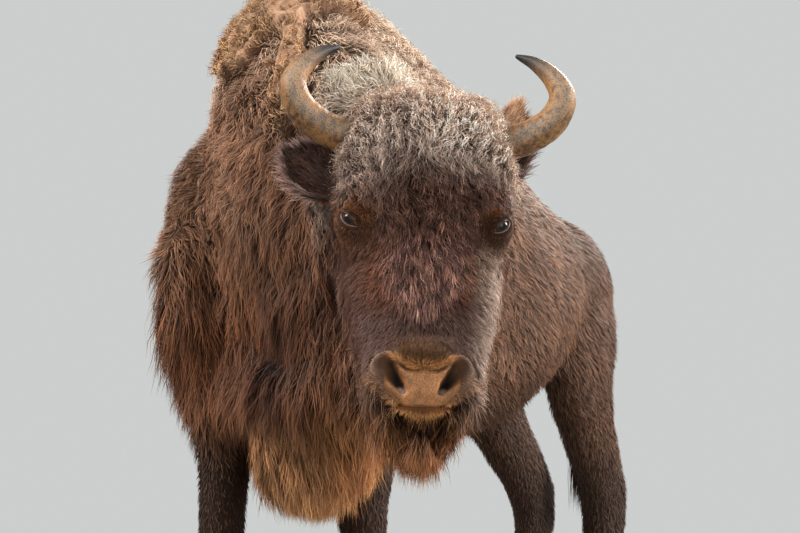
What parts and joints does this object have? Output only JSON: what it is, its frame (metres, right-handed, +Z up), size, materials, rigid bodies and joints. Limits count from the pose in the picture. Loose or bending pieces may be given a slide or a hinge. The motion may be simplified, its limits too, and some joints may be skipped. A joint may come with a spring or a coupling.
{
  "type": "wisent",
  "caption": "Standing European bison, a life-size still model: shaggy humped body, head turned to its left, curved horns, beard and long throat hair.",
  "frame": {"origin": "on the floor below the centre of the bounding box", "axes": "+Z up, the animal's body faces -Y, its left side is +X; its head is turned towards +X"},
  "size_m": [1.1098, 1.8266, 1.6565],
  "materials": {
    "body_coat": "short dense brown hair, paler on the hump",
    "face_coat": "woolly and short dark brown hair",
    "long_hair": "long hair with golden tips",
    "nose_pad": "bare moist skin, tan and brown",
    "horn": "horn, ochre and grey with a dark tip",
    "hoof": "dark hoof horn",
    "eye": "wet dark brown eye, opaque"
  },
  "bodies": {
    "root": {"trunk_shoulders": "body_coat", "trunk_barrel": "body_coat", "trunk_hindquarters": "body_coat", "neck": "body_coat", "foreleg_left_upper": "body_coat", "hoof_foreleg_left_outer": "hoof", "dewclaw_foreleg_left_outer": "hoof", "hoof_foreleg_left_inner": "hoof", "dewclaw_foreleg_left_inner": "hoof", "foreleg_left_lower": "body_coat", "foreleg_right_upper": "body_coat", "hoof_foreleg_right_outer": "hoof", "dewclaw_foreleg_right_outer": "hoof", "hoof_foreleg_right_inner": "hoof", "dewclaw_foreleg_right_inner": "hoof", "foreleg_right_lower": "body_coat", "hindleg_left_upper": "body_coat", "hoof_hindleg_left_outer": "hoof", "dewclaw_hindleg_left_outer": "hoof", "hoof_hindleg_left_inner": "hoof", "dewclaw_hindleg_left_inner": "hoof", "hindleg_left_lower": "body_coat", "hindleg_right_upper": "body_coat", "hoof_hindleg_right_outer": "hoof", "dewclaw_hindleg_right_outer": "hoof", "hoof_hindleg_right_inner": "hoof", "dewclaw_hindleg_right_inner": "hoof", "hindleg_right_lower": "body_coat", "eye_left": "eye", "horn_left": "horn", "ear_left": "face_coat", "eye_right": "eye", "horn_right": "horn", "ear_right": "face_coat", "head": "face_coat", "muzzle": "nose_pad", "jaw": "face_coat", "beard": "long_hair", "mane": "long_hair", "tail": "body_coat", "tail_tuft": "long_hair"}
  },
  "joints": []
}
